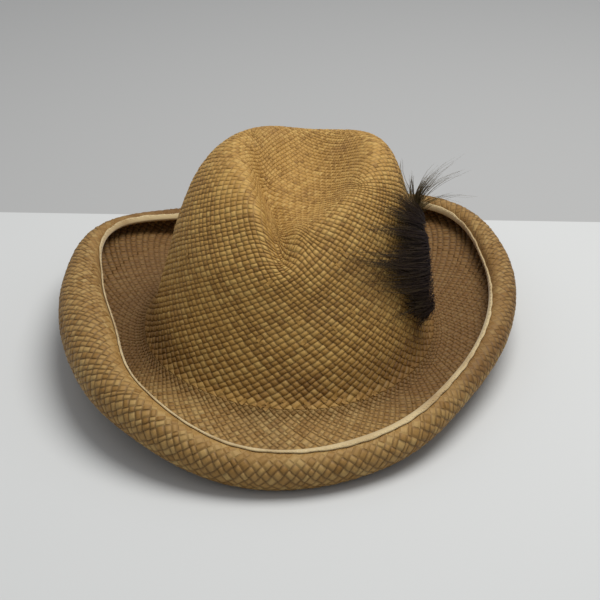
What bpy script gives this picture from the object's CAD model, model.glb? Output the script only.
"""Looks of a straw cowboy hat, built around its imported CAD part.

The hat is plaited from split palm leaf: a creased crown, a curled brim, a cotton tape folded over
the free edge and a dark side plume. Sizes are millimetres until a mesh is made, then metres.
+Z is up, the front of the hat faces -Y and the wearer's left is +X.
"""

import logging
import math
from dataclasses import dataclass, field
from enum import Enum

import bpy
import numpy as np
from bpy.types import ID, Material, Mesh, Node, NodeSocket, NodeTree, Object
from mathutils import Matrix, Vector

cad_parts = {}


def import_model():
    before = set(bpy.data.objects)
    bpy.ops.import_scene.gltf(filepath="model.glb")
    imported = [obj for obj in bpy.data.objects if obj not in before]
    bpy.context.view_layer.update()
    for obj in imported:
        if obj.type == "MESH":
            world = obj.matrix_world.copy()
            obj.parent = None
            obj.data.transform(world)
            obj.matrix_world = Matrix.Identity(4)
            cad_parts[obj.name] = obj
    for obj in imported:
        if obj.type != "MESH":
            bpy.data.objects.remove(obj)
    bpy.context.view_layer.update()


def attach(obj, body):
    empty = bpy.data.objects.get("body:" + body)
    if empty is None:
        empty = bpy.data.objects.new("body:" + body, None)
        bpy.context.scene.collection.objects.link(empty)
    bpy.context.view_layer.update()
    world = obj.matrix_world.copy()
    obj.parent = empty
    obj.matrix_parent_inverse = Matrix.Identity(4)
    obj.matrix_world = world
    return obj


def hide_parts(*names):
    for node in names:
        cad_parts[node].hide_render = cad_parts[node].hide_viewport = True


LOG = logging.getLogger("hat")
METRES = 0.001
FULL_TURN = 2 * math.pi
SEED = 41

# Sockets of the Mix node: its factor, and the two numbers or colours that it mixes
FACTOR, NUMBER_A, NUMBER_B, COLOUR_A, COLOUR_B = 0, 2, 3, 6, 7

# Settings that many nodes share
MULTIPLY = {"operation": "MULTIPLY"}
DIVIDE = {"operation": "DIVIDE"}
MAXIMUM = {"operation": "MAXIMUM"}
SCALE = {"operation": "SCALE"}
SMOOTH = {"interpolation_type": "SMOOTHSTEP"}
RGBA = {"data_type": "RGBA"}

# Corners of a cell of the plait in its own two directions, turning left
CELL_CORNERS = ((0, 0), (1, 0), (1, 1), (0, 1))


# Tables and sizes of the hat, as in the CAD part


@dataclass(frozen=True)
class CrownSection:
    """One level section of the crown's mid surface, in millimetres above the foot."""

    rise: float
    half_width: float
    half_length: float
    back: float
    side: float


@dataclass(frozen=True)
class BrimSection:
    """The brim's section in one direction: slopes in degrees, lengths in millimetres."""

    direction: float
    slope: float
    run: float
    turn: float
    length: float
    lift: float


@dataclass(frozen=True)
class Bowl:
    """The long bowl pressed into the top of the crown."""

    x: float = 6
    y: float = 4
    right: float = 26
    narrowing: float = 0.2
    left: float = 31
    front: float = 62
    back: float = 56
    depth: float = 26
    steepness: float = 1.5


@dataclass(frozen=True)
class Crease:
    """The slanting crease in the bowl, along the foot of its right-hand wall."""

    x: float = -8
    y: float = -25
    lean: float = -0.31
    width: float = 7
    length: float = 42
    depth: float = 10


@dataclass(frozen=True)
class Lock:
    """One lock of barbs: rises above the foot, directions in degrees, widths in millimetres."""

    start: float
    origin: float
    to: float
    end: float
    proud: float
    width: float

    @property
    def sweep(self) -> float:
        """Degrees from the lock's root to its end, the short way round."""
        return (self.to - self.origin + 180) % 360 - 180


@dataclass(frozen=True)
class QuillStation:
    """One ring of the quill: its direction in degrees and its sizes in millimetres."""

    direction: float
    rise: float
    width: float
    depth: float


CROWN_SECTIONS = (
    CrownSection(0, 83.2, 100.2, 0, 0),
    CrownSection(4, 80, 97, 0, 0),
    CrownSection(12, 77, 93.5, 0, 0.5),
    CrownSection(30, 73, 88, 1, 1),
    CrownSection(52, 68, 81.5, 3, 1.5),
    CrownSection(72, 62.5, 75.5, 4, 2),
    CrownSection(87, 56.5, 69.5, 5, 2.5),
    CrownSection(98, 48.5, 62, 5.5, 3.5),
    CrownSection(104, 38.5, 51, 6, 4.5),
    CrownSection(106, 20, 28, 6, 5),
    CrownSection(106, 0, 0, 6, 5),
)

BRIM_SECTIONS = (
    BrimSection(0, 10, 37.5, 228, 68.5, -1.5),
    BrimSection(30, 10.5, 50, 275, 87.5, -0.5),
    BrimSection(60, 7, 67, 260, 96, 1.5),
    BrimSection(90, -10, 53, 224, 102, -1.5),
    BrimSection(120, -8, 52.5, 244, 93, -1),
    BrimSection(150, 7.5, 62, 240, 86.5, 2),
    BrimSection(180, 0, 37, 268, 94.5, 3),
    BrimSection(210, -11.5, 24, 265, 98.5, 3),
    BrimSection(240, -6, 37.5, 239, 87, 4),
    BrimSection(270, -16.5, 43, 216, 81, 1.5),
    BrimSection(300, -11.5, 39, 219, 73.5, -1),
    BrimSection(330, 6, 34, 216, 60.5, -2.5),
)

LOCKS = (
    Lock(66, 358, 340, 88, 6, 4),
    Lock(64, 358, 333, 85, 7, 6),
    Lock(57, 358, 326, 81, 8, 8),
    Lock(52, 358, 323, 75, 8, 9),
    Lock(46, 357, 321, 68, 8, 9),
    Lock(41, 356, 321, 60, 8, 9),
    Lock(35, 355, 322, 52, 7, 9),
    Lock(30, 353, 326, 43, 6, 8),
    Lock(26, 351, 331, 36, 5, 7),
    Lock(23, 350, 338, 28, 4, 6),
    Lock(24, 351, 345, 20, 3, 5),
)

WISPS = (
    Lock(66, 358, 346, 103, 6, 4),
    Lock(66, 359, 358, 90, 9, 4),
    Lock(66, 359, 0, 86, 23, 5),
    Lock(66, 359, 3, 87, 33, 5),
    Lock(64, 359, 354, 79, 25, 5),
)

QUILL = (
    QuillStation(350, 20, 4, 3),
    QuillStation(353, 26, 7, 5),
    QuillStation(356, 40, 8, 8),
    QuillStation(358, 56, 8, 9),
    QuillStation(359, 68, 5, 6),
)


# Curves


def ease(start: float, end: float, value: np.ndarray) -> np.ndarray:
    """Rise smoothly from 0 at start to 1 at end."""
    t = np.clip((value - start) / (end - start), 0, 1)
    return t * t * (3 - 2 * t)


def curve_through(places: np.ndarray, values: np.ndarray, at: np.ndarray) -> np.ndarray:
    """Follow a cubic through a row of points, with each slope taken from its neighbours.

    Args:
        places: increasing places of the points.
        values: the points' values.
        at: where the curve is read.

    Returns:
        The curve's values.
    """
    slopes = np.gradient(values, places)
    slopes[1:-1] = (values[2:] - values[:-2]) / (places[2:] - places[:-2])
    i = np.clip(np.searchsorted(places, at, side="right") - 1, 0, len(places) - 2)
    step = places[i + 1] - places[i]
    t = (at - places[i]) / step
    t2 = t * t
    t3 = t2 * t
    return (
        (2 * t3 - 3 * t2 + 1) * values[i]
        + (t3 - 2 * t2 + t) * step * slopes[i]
        + (3 * t2 - 2 * t3) * values[i + 1]
        + (t3 - t2) * step * slopes[i + 1]
    )


def unit(vectors: np.ndarray) -> np.ndarray:
    """Scale rows of vectors to length one."""
    return vectors / np.maximum(np.linalg.norm(vectors, axis=-1, keepdims=True), 1e-9)


@dataclass
class StrawForm:
    """The straw's mid surface, from the same named sizes as the CAD part."""

    wall: float = 2.0
    gap: float = 0.3
    foot_half_width: float = 83.2
    foot_half_length: float = 100.2
    foot_height: float = 15.2
    foot_slope: float = -50
    top_start: float = 55
    top_full: float = 97
    # Each change of the top's height, and the places over which it comes in
    front_drop: float = 12
    front_drop_over: tuple[float, float] = (25, -75)
    back_drop: float = 2
    back_drop_over: tuple[float, float] = (25, 70)
    left_lift: float = 5
    left_lift_over: tuple[float, float] = (-30, 50)
    # Rise of the rim, past which things go straight up, and a station above it
    rim_rise: float = 91
    above_rim: float = 0.7
    fillet: float = 10
    tightening: float = 0.35
    lift_fade: float = 40
    bowl: Bowl = Bowl()
    crease: Crease = Crease()
    # The plan is centred on the origin, which moves the foot's centre here
    centre: tuple[float, float] = (4.853, -6.723)
    columns: int = 720
    steps: int = 400
    places: np.ndarray = field(init=False)
    reach: np.ndarray = field(init=False)
    height: np.ndarray = field(init=False)

    def __post_init__(self) -> None:
        """Sum up the brim's section in every direction, ready for reading."""
        places = [0.0]
        for below, here in zip(CROWN_SECTIONS, CROWN_SECTIONS[1:]):
            inwards = below.half_width + below.half_length - here.half_width - here.half_length
            places.append(places[-1] + math.hypot(inwards / 2, here.rise - below.rise))
        self.places = np.array(places)
        direction = np.linspace(0, 360, self.columns + 1)[:, None]
        slope, run, turn, length, lift = (
            self.around(name, direction) for name in ("slope", "run", "turn", "length", "lift")
        )
        along = (np.arange(self.steps) + 0.5)[None, :] / self.steps * length
        curl = np.clip((along - run) / (length - run), 0, 1)
        eased = (1 - self.tightening) * curl + self.tightening * curl * curl
        tilt = self.foot_slope + (slope - self.foot_slope) * ease(0, self.fillet, along)
        tilt = np.radians(tilt + turn * eased)
        step = length / self.steps
        start = np.zeros_like(direction)
        self.reach = np.concatenate([start, np.cumsum(np.cos(tilt) * step, axis=1)], axis=1)
        self.height = np.concatenate([start, np.cumsum(np.sin(tilt) * step, axis=1)], axis=1)
        self.height += self.foot_height + lift

    def around(self, column: str, direction: np.ndarray) -> np.ndarray:
        """Read one column of the brim's table in any direction, in degrees."""
        count = len(BRIM_SECTIONS)
        rows = range(-2, count + 2)
        places = np.array([i * 360 / count for i in rows])
        values = np.array([getattr(BRIM_SECTIONS[i % count], column) for i in rows], float)
        return curve_through(places, values, np.mod(direction, 360))

    def crown_column(self, column: str, station: np.ndarray) -> np.ndarray:
        """Read one column of the crown's table at stations from 0 at the foot to 1 at the top."""
        values = np.array([getattr(row, column) for row in CROWN_SECTIONS], float)
        return curve_through(self.places, values, station * self.places[-1])

    def top_shape(self, x: np.ndarray, y: np.ndarray) -> np.ndarray:
        """How far the hand-shaped top lies below the plain dome at a place in plan."""
        bowl, crease = self.bowl, self.crease
        right = bowl.right + bowl.narrowing * np.minimum(y - bowl.y, 0)
        across = (x - bowl.x) / np.where(x < bowl.x, right, bowl.left)
        along = (y - bowl.y) / np.where(y < bowl.y, bowl.front, bowl.back)
        pressed = bowl.depth * np.exp(-((across**2 + along**2) ** bowl.steepness))
        line = crease.x + crease.lean * (y - crease.y)
        off = ((x - line) / crease.width) ** 2 + ((y - crease.y) / crease.length) ** 4
        slopes = self.front_drop * ease(*self.front_drop_over, y)
        slopes = slopes + self.back_drop * ease(*self.back_drop_over, y)
        slopes = slopes - self.left_lift * ease(*self.left_lift_over, x)
        return slopes + pressed + crease.depth * np.exp(-off)

    def crown(self, angle: np.ndarray, station: np.ndarray) -> np.ndarray:
        """Points of the crown's mid surface."""
        rise = self.crown_column("rise", station)
        half_width = np.maximum(self.crown_column("half_width", station), 0)
        half_length = np.maximum(self.crown_column("half_length", station), 0)
        x = half_width * np.cos(angle) + self.crown_column("side", station)
        y = half_length * np.sin(angle) + self.crown_column("back", station)
        lift = self.around("lift", np.degrees(angle)) * (1 - ease(0, self.lift_fade, rise))
        shaped = ease(self.top_start, self.top_full, rise) * self.top_shape(x, y)
        z = self.foot_height + rise + lift - shaped
        return np.stack([x + self.centre[0], y + self.centre[1], z], axis=-1)

    def crown_normal(self, angle: np.ndarray, station: np.ndarray) -> np.ndarray:
        """Outward unit normals of the crown."""
        move, pole = 0.004, 0.985
        station = np.minimum(station, pole)
        low, high = np.maximum(station - move, 0), station + move
        round_ = self.crown(angle + move, station) - self.crown(angle - move, station)
        return unit(np.cross(round_, self.crown(angle, high) - self.crown(angle, low)))

    def length(self, angle: np.ndarray) -> np.ndarray:
        """Length of the brim along the straw, from the foot to the free edge."""
        return self.around("length", np.degrees(angle))

    def brim(self, angle: np.ndarray, distance: np.ndarray) -> np.ndarray:
        """Points of the brim's mid surface at a distance from the foot along the straw."""
        column = np.mod(angle / FULL_TURN, 1) * self.columns
        row = np.clip(distance / self.length(angle), 0, 1) * self.steps
        i, j = np.floor(column).astype(int), np.minimum(np.floor(row).astype(int), self.steps - 1)
        s, t = column - i, row - j
        i = np.minimum(i, self.columns - 1)

        def read(grid: np.ndarray) -> np.ndarray:
            """Read a grid between its four nearest places."""
            near = grid[i, j] * (1 - t) + grid[i, j + 1] * t
            return near * (1 - s) + (grid[i + 1, j] * (1 - t) + grid[i + 1, j + 1] * t) * s

        reach, height = read(self.reach), read(self.height)
        out_x, out_y = self.foot_half_length * np.cos(angle), self.foot_half_width * np.sin(angle)
        scale = np.hypot(out_x, out_y)
        x = self.foot_half_width * np.cos(angle) + reach * out_x / scale + self.centre[0]
        y = self.foot_half_length * np.sin(angle) + reach * out_y / scale + self.centre[1]
        return np.stack([x, y, height], axis=-1)

    def brim_normal(self, angle: np.ndarray, distance: np.ndarray) -> np.ndarray:
        """Unit normals of the brim's upper face, the face inside the curl."""
        turn, move = 0.0087, 0.5
        length = self.length(angle)
        near, far = np.maximum(distance - move, 0), np.minimum(distance + move, length)
        share = distance / length
        after, before = angle + turn, angle - turn
        round_ = self.brim(after, share * self.length(after))
        round_ = round_ - self.brim(before, share * self.length(before))
        return unit(np.cross(self.brim(angle, far) - self.brim(angle, near), round_))

    def over_crown(
        self, direction: np.ndarray, rise: np.ndarray, height: np.ndarray
    ) -> tuple[np.ndarray, np.ndarray]:
        """Hold places off the crown's outer face.

        Args:
            direction: degrees round the hat.
            rise: millimetres above the foot; above the rim it goes straight up.
            height: millimetres off the face.

        Returns:
            The points and the face's normals there.
        """
        stations = np.linspace(0, self.above_rim, 200)
        rises = self.crown_column("rise", stations)
        angle = np.radians(direction)
        station = np.interp(np.minimum(rise, self.rim_rise), rises, stations)
        normal = self.crown_normal(angle, station)
        points = self.crown(angle, station) + normal * (self.wall / 2 + height)[..., None]
        points[..., 2] += np.maximum(rise - self.rim_rise, 0)
        return points, normal


# Nodes, meshes and objects


def linear(hex_colour: str) -> tuple[float, float, float, float]:
    """Turn an sRGB hex colour into the linear colour that shaders use."""
    parts = [int(hex_colour[i : i + 2], 16) / 255 for i in (1, 3, 5)]
    lin = [c / 12.92 if c <= 0.04045 else ((c + 0.055) / 1.055) ** 2.4 for c in parts]
    return (*lin, 1.0)


def add_node(
    tree: NodeTree, kind: str, inputs: dict | None = None, settings: dict | None = None
) -> Node:
    """Add a node to a tree.

    Args:
        tree: the tree it goes into.
        kind: Blender's name of the node type.
        inputs: sockets, by name or index, and the value, output or node that each takes; a node
            gives its first output in use.
        settings: properties of the node and their values.

    Returns:
        The node.
    """
    node = tree.nodes.new(kind)
    for name, value in (settings or {}).items():
        setattr(node, name, value)
    for name, value in (inputs or {}).items():
        if isinstance(value, Node):
            value = next(output for output in value.outputs if output.enabled)
        if isinstance(value, NodeSocket):
            tree.links.new(value, node.inputs[name])
        else:
            node.inputs[name].default_value = value
    return node


def new_material(name: str) -> tuple[Material, NodeTree]:
    """Start a node material with an empty tree."""
    material = bpy.data.materials.new(name)
    material.use_nodes = True
    material.node_tree.nodes.clear()
    return material, material.node_tree


def end_material(tree: NodeTree, surface: dict) -> None:
    """End a material's tree in one shader with these inputs."""
    shader = add_node(tree, "ShaderNodeBsdfPrincipled", surface)
    add_node(tree, "ShaderNodeOutputMaterial", {"Surface": shader})


def new_object(name: str, data: ID) -> Object:
    """Put a mesh, a light or a camera into the scene as an object at the origin."""
    piece = bpy.data.objects.new(name, data)
    bpy.context.scene.collection.objects.link(piece)
    return piece


def new_mesh(name: str, points: np.ndarray, edges: list, faces: list) -> Mesh:
    """Make a mesh in metres from points in millimetres."""
    mesh = bpy.data.meshes.new(name)
    mesh.from_pydata((points.reshape(-1, 3) * METRES).tolist(), edges, faces)
    return mesh


def add_attribute(mesh: Mesh, name: str, kind: str, domain: str, data: np.ndarray) -> None:
    """Store values on a mesh under a name."""
    attribute = mesh.attributes.new(name, kind, domain)
    key = {"FLOAT": "value", "FLOAT_VECTOR": "vector", "FLOAT_COLOR": "color"}[kind]
    attribute.data.foreach_set(key, np.ascontiguousarray(data, np.float32).ravel())


def add_uv(mesh: Mesh, name: str, data: np.ndarray) -> None:
    """Store a map from a mesh's corners to places in a pattern."""
    layer = mesh.uv_layers.get(name) or mesh.uv_layers.new(name=name)
    layer.data.foreach_set("uv", data.astype(np.float32).ravel())


def new_tree(name: str, sizes: dict[str, float]) -> tuple[NodeTree, Node]:
    """Start a geometry tree with a geometry input and named sizes.

    Args:
        name: the tree's name.
        sizes: the named inputs and their defaults.

    Returns:
        The tree and its input node.
    """
    tree = bpy.data.node_groups.new(name, "GeometryNodeTree")
    for way in ("INPUT", "OUTPUT"):
        tree.interface.new_socket("Geometry", in_out=way, socket_type="NodeSocketGeometry")
    for label, value in sizes.items():
        kind = "NodeSocketInt" if isinstance(value, int) else "NodeSocketFloat"
        socket = tree.interface.new_socket(label, in_out="INPUT", socket_type=kind)
        socket.default_value = value
    return tree, tree.nodes.new("NodeGroupInput")


def run_tree(
    piece: Object,
    tree: NodeTree,
    sizes: dict[str, float],
    geometry: Node,
    finish: Material,
) -> None:
    """End a geometry tree, run it on a piece and keep its result as the piece's plain mesh.

    Args:
        piece: the object it runs on.
        tree: the tree.
        sizes: the values of its named inputs.
        geometry: the node that gives the finished shape.
        finish: the material of the result.
    """
    real = add_node(tree, "GeometryNodeRealizeInstances", {"Geometry": geometry})
    dressed = add_node(tree, "GeometryNodeSetMaterial", {"Geometry": real, "Material": finish})
    add_node(tree, "NodeGroupOutput", {"Geometry": dressed})
    modifier = piece.modifiers.new(tree.name, "NODES")
    modifier.node_group = tree
    for item in tree.interface.items_tree:
        if item.name in sizes:
            modifier[item.identifier] = sizes[item.name]
    graph = bpy.context.evaluated_depsgraph_get()
    evaluated = piece.evaluated_get(graph)
    mesh = bpy.data.meshes.new_from_object(evaluated, preserve_all_data_layers=True, depsgraph=graph)
    piece.modifiers.clear()
    piece.data = mesh


def named_attribute(tree: NodeTree, name: str, kind: str) -> NodeSocket:
    """Read a stored attribute inside a geometry tree."""
    node = add_node(tree, "GeometryNodeInputNamedAttribute", {"Name": name}, {"data_type": kind})
    return node.outputs["Attribute"]


def add_drift(
    tree: NodeTree,
    start: Node,
    size: str,
    amount: NodeSocket | Node,
    detail: float,
) -> Node:
    """Work out a seeded random move for every point.

    Args:
        tree: the geometry tree.
        start: its input node.
        size: the input that says how far apart the moves differ.
        amount: how far the points move.
        detail: how fine the moves are.

    Returns:
        The node that gives the move.
    """
    position = add_node(tree, "GeometryNodeInputPosition")
    scale = add_node(tree, "ShaderNodeMath", {0: 1.0, 1: start.outputs[size]}, DIVIDE)
    look = {"Vector": position, "W": start.outputs["Seed"], "Scale": scale, "Detail": detail}
    noise = add_node(tree, "ShaderNodeTexNoise", look, {"noise_dimensions": "4D"})
    both = {0: noise.outputs["Color"], 1: (0.5, 0.5, 0.5)}
    centred = add_node(tree, "ShaderNodeVectorMath", both, {"operation": "SUBTRACT"})
    return add_node(tree, "ShaderNodeVectorMath", {0: centred, "Scale": amount}, SCALE)


def finish_piece(piece: Object, nodes: tuple[str, ...], smooth: bool = True) -> None:
    """Smooth a piece, tie it to the hat's body, and say what it stands for."""
    is_smooth = np.full(len(piece.data.polygons), smooth)
    cut_sides = piece.data.attributes.get("side")
    if cut_sides:
        is_side = np.zeros(len(is_smooth), np.float32)
        cut_sides.data.foreach_get("value", is_side)
        is_smooth = is_side < 0.5
    piece.data.polygons.foreach_set("use_smooth", is_smooth)
    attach(piece, "root")
    if nodes:
        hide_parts(*nodes)
    LOG.info("%s: %d faces", piece.name, len(piece.data.polygons))


# Finishes


@dataclass(frozen=True)
class PalmStraw:
    """Split palm leaf, dried and plaited: a faint gloss on each strip, with fibres along it.

    The eye gets a tan that differs from strip to strip, fine streaks, dark gaps and old stains.
    """

    name: str
    pale: str = "#BF9C58"
    mid: str = "#AC8442"
    deep: str = "#805C26"
    gap: str = "#3A2612"
    stain: str = "#7C5531"
    soiled: str = "#5E3D18"
    roughness: float = 0.58
    ior: float = 1.45
    # How many ribs a strip shows across, and how often they change along one crossing
    ribs: float = 11.0
    rib_changes: float = 0.45
    stain_size_mm: float = 34.0
    # How dark the shadow line is along the sides of each strip
    line: float = 0.4
    # The hollow between crown and roll is soiled: how much, below which height, how far behind the
    # front in metres, and on what faces up; each pair runs from no soil to full soil
    soil: float = 0.7
    soil_height: tuple[float, float] = (0.042, 0.024)
    soil_behind: tuple[float, float] = (-0.115, -0.06)
    soil_facing: tuple[float, float] = (0.0, 0.4)

    def material(self) -> Material:
        """Build the node material."""
        material, tree = new_material(self.name)
        strip = add_node(tree, "ShaderNodeAttribute", settings={"attribute_name": "strip"})
        parts = add_node(tree, "ShaderNodeSeparateColor", {"Color": strip})
        plait = add_node(tree, "ShaderNodeUVMap", settings={"uv_map": "plait"})
        lengthwise = {0: plait, 1: (self.ribs, self.rib_changes, 1.0)}
        ribs = add_node(tree, "ShaderNodeVectorMath", lengthwise, MULTIPLY)
        look = {"Vector": ribs, "Scale": 1.0, "Detail": 3.0, "Roughness": 0.6}
        streaks = add_node(tree, "ShaderNodeTexNoise", look)
        place = add_node(tree, "ShaderNodeTexCoord").outputs["Object"]
        look = {"Vector": place, "Scale": 1000 / self.stain_size_mm, "Detail": 5.0, "Roughness": 0.65}
        patches = add_node(tree, "ShaderNodeTexNoise", look)
        both = {FACTOR: 0.5, NUMBER_A: parts.outputs["Red"], NUMBER_B: parts.outputs["Green"]}
        tone = add_node(tree, "ShaderNodeMix", both)
        tone = add_node(tree, "ShaderNodeMix", {FACTOR: 0.42, NUMBER_A: tone, NUMBER_B: streaks})
        ramp = add_node(tree, "ShaderNodeValToRGB", {"Fac": tone})
        stops = ramp.color_ramp.elements
        stops.new(0.5)
        for stop, spot, colour in zip(stops, (0.18, 0.5, 0.82), (self.deep, self.mid, self.pale)):
            stop.position = spot
            stop.color = linear(colour)
        limits = {"Value": patches, "From Min": 0.52, "From Max": 0.8, "To Max": 0.42}
        worn = add_node(tree, "ShaderNodeMapRange", limits)
        both = {FACTOR: worn, COLOUR_A: ramp, COLOUR_B: linear(self.stain)}
        stained = add_node(tree, "ShaderNodeMix", both, RGBA)
        aged = self.aged(tree, place, stained)
        limits = {"Value": parts.outputs["Blue"], "From Min": 0.12, "To Max": 0.85}
        depth = add_node(tree, "ShaderNodeMapRange", limits, SMOOTH)
        profile = self.strip_profile(tree, plait)
        limits = {"Value": profile, "To Min": self.line, "To Max": 0.0}
        edge = add_node(tree, "ShaderNodeMapRange", limits)
        line = add_node(tree, "ShaderNodeMath", {0: edge, 1: strip.outputs["Alpha"]}, MULTIPLY)
        dark = add_node(tree, "ShaderNodeMath", {0: depth, 1: line}, MAXIMUM)
        both = {FACTOR: dark, COLOUR_A: aged, COLOUR_B: linear(self.gap)}
        shaded = add_node(tree, "ShaderNodeMix", both, RGBA)
        grain = {"Strength": 0.5, "Distance": 0.12 * METRES, "Height": streaks}
        bump = add_node(tree, "ShaderNodeBump", grain)
        fold = {"Strength": 0.8, "Distance": 0.5 * METRES, "Height": profile, "Normal": bump}
        folded = add_node(tree, "ShaderNodeBump", fold)
        limits = {"Value": streaks, "To Min": self.roughness - 0.1, "To Max": self.roughness + 0.16}
        gloss = add_node(tree, "ShaderNodeMapRange", limits)
        surface = {"Base Color": shaded, "Roughness": gloss, "IOR": self.ior, "Normal": folded}
        end_material(tree, surface | {"Specular IOR Level": 0.35})
        return material

    def aged(
        self, tree: NodeTree, place: NodeSocket, colour: Node
    ) -> Node:
        """Soil the straw low down behind the front of the brim, where it faces up.

        Args:
            tree: the material's tree.
            place: where the straw lies, in metres.
            colour: gives the straw's colour before.

        Returns:
            The node that gives the colour after.
        """
        split = add_node(tree, "ShaderNodeSeparateXYZ", {0: place})
        normal = add_node(tree, "ShaderNodeNewGeometry").outputs["Normal"]
        facing = add_node(tree, "ShaderNodeSeparateXYZ", {0: normal})
        soil = self.soil
        for value, (start, end) in (
            (split.outputs["Z"], self.soil_height),
            (split.outputs["Y"], self.soil_behind),
            (facing.outputs["Z"], self.soil_facing),
        ):
            limits = {"Value": value, "From Min": start, "From Max": end}
            share = add_node(tree, "ShaderNodeMapRange", limits, SMOOTH)
            soil = add_node(tree, "ShaderNodeMath", {0: soil, 1: share}, MULTIPLY)
        both = {FACTOR: soil, COLOUR_A: colour, COLOUR_B: linear(self.soiled)}
        return add_node(tree, "ShaderNodeMix", both, RGBA)

    @staticmethod
    def strip_profile(tree: NodeTree, plait: Node) -> Node:
        """Height of the strip on top: low at its two sides and where it dives under the next."""
        split = add_node(tree, "ShaderNodeSeparateXYZ", {0: plait})
        sides = []
        for axis, edge in (("X", 0.1), ("Y", 0.35)):
            part = add_node(tree, "ShaderNodeMath", {0: split.outputs[axis]}, {"operation": "FRACT"})
            back = add_node(tree, "ShaderNodeMath", {0: 1.0, 1: part}, {"operation": "SUBTRACT"})
            low = add_node(tree, "ShaderNodeMath", {0: part, 1: back}, {"operation": "MINIMUM"})
            sides.append(add_node(tree, "ShaderNodeMapRange", {"Value": low, "From Max": edge}, SMOOTH))
        return add_node(tree, "ShaderNodeMath", dict(enumerate(sides)), MULTIPLY)


@dataclass(frozen=True)
class CottonTape:
    """Woven cotton tape, folded and stitched: matt, with its threads just showing.

    Real threads are 0.25 mm apart; they are drawn 0.7 mm apart so that they show in the render.
    """

    name: str
    cloth: str = "#C3AE82"
    worn: str = "#A08458"
    roughness: float = 0.9
    ior: float = 1.5
    thread_mm: float = 0.7
    soil_size_mm: float = 22.0

    def material(self) -> Material:
        """Build the node material."""
        material, tree = new_material(self.name)
        cloth = add_node(tree, "ShaderNodeUVMap", settings={"uv_map": "cloth"})
        # At scale 1 the bands lie a twentieth of a full turn apart
        look = {"Vector": cloth, "Scale": FULL_TURN / 20 / self.thread_mm, "Distortion": 0.8, "Detail": 1.0}
        heights = [
            add_node(tree, "ShaderNodeTexWave", look, {"bands_direction": axis}).outputs["Fac"]
            for axis in ("X", "Y")
        ]
        threads = add_node(tree, "ShaderNodeMath", dict(enumerate(heights)), MAXIMUM)
        place = add_node(tree, "ShaderNodeTexCoord").outputs["Object"]
        look = {"Vector": place, "Scale": 1000 / self.soil_size_mm, "Detail": 6.0}
        soil = add_node(tree, "ShaderNodeTexNoise", look)
        limits = {"Value": soil, "From Min": 0.42, "From Max": 0.75}
        amount = add_node(tree, "ShaderNodeMapRange", limits)
        both = {FACTOR: amount, COLOUR_A: linear(self.cloth), COLOUR_B: linear(self.worn)}
        colour = add_node(tree, "ShaderNodeMix", both, RGBA)
        weave = {"Strength": 0.6, "Distance": 0.12 * METRES, "Height": threads}
        bump = add_node(tree, "ShaderNodeBump", weave)
        surface = {"Base Color": colour, "Roughness": self.roughness, "IOR": self.ior, "Normal": bump}
        end_material(tree, surface | {"Sheen Weight": 0.2})
        return material


@dataclass(frozen=True)
class BarbFibre:
    """Dyed feather barbs: near black at the quill with a plum cast, browner at the tips."""

    name: str
    root: str = "#1B0910"
    tip: str = "#6B5C3C"
    roughness: float = 0.65
    ior: float = 1.55
    mottle_mm: float = 6.0

    def material(self) -> Material:
        """Build the node material."""
        material, tree = new_material(self.name)
        tint = add_node(tree, "ShaderNodeAttribute", settings={"attribute_name": "tint"})
        place = add_node(tree, "ShaderNodeTexCoord").outputs["Object"]
        look = {"Vector": place, "Scale": 1000 / self.mottle_mm, "Detail": 3.0}
        mottle = add_node(tree, "ShaderNodeTexNoise", look)
        share = add_node(tree, "ShaderNodeMath", {0: tint.outputs["Fac"], 1: mottle}, MULTIPLY)
        doubled = add_node(tree, "ShaderNodeMath", {0: share, 1: 2.0}, MULTIPLY | {"use_clamp": True})
        both = {FACTOR: doubled, COLOUR_A: linear(self.root), COLOUR_B: linear(self.tip)}
        colour = add_node(tree, "ShaderNodeMix", both, RGBA)
        surface = {"Base Color": colour, "Roughness": self.roughness, "IOR": self.ior}
        end_material(tree, surface | {"Specular IOR Level": 0.14})
        return material


@dataclass(frozen=True)
class StudioPaper:
    """Matt paper under the hat."""

    name: str
    colour: str
    roughness: float = 0.95

    def material(self) -> Material:
        """Build the node material."""
        material, tree = new_material(self.name)
        place = add_node(tree, "ShaderNodeTexCoord").outputs["Object"]
        grain = add_node(tree, "ShaderNodeTexNoise", {"Vector": place, "Scale": 700.0})
        tooth = {"Strength": 0.1, "Distance": 0.05 * METRES, "Height": grain}
        bump = add_node(tree, "ShaderNodeBump", tooth)
        surface = {"Base Color": linear(self.colour), "Roughness": self.roughness, "Normal": bump}
        end_material(tree, surface | {"Specular IOR Level": 0.2})
        return material


# The plait


class Face(Enum):
    """The two faces of the straw: the cells are listed turning left seen from the outer one."""

    OUTER = 1
    INNER = -1


class Detail(Enum):
    """How a face of the plait is made."""

    WOVEN = "every strip in relief"
    PLAIN = "one flat patch for each crossing"


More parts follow.
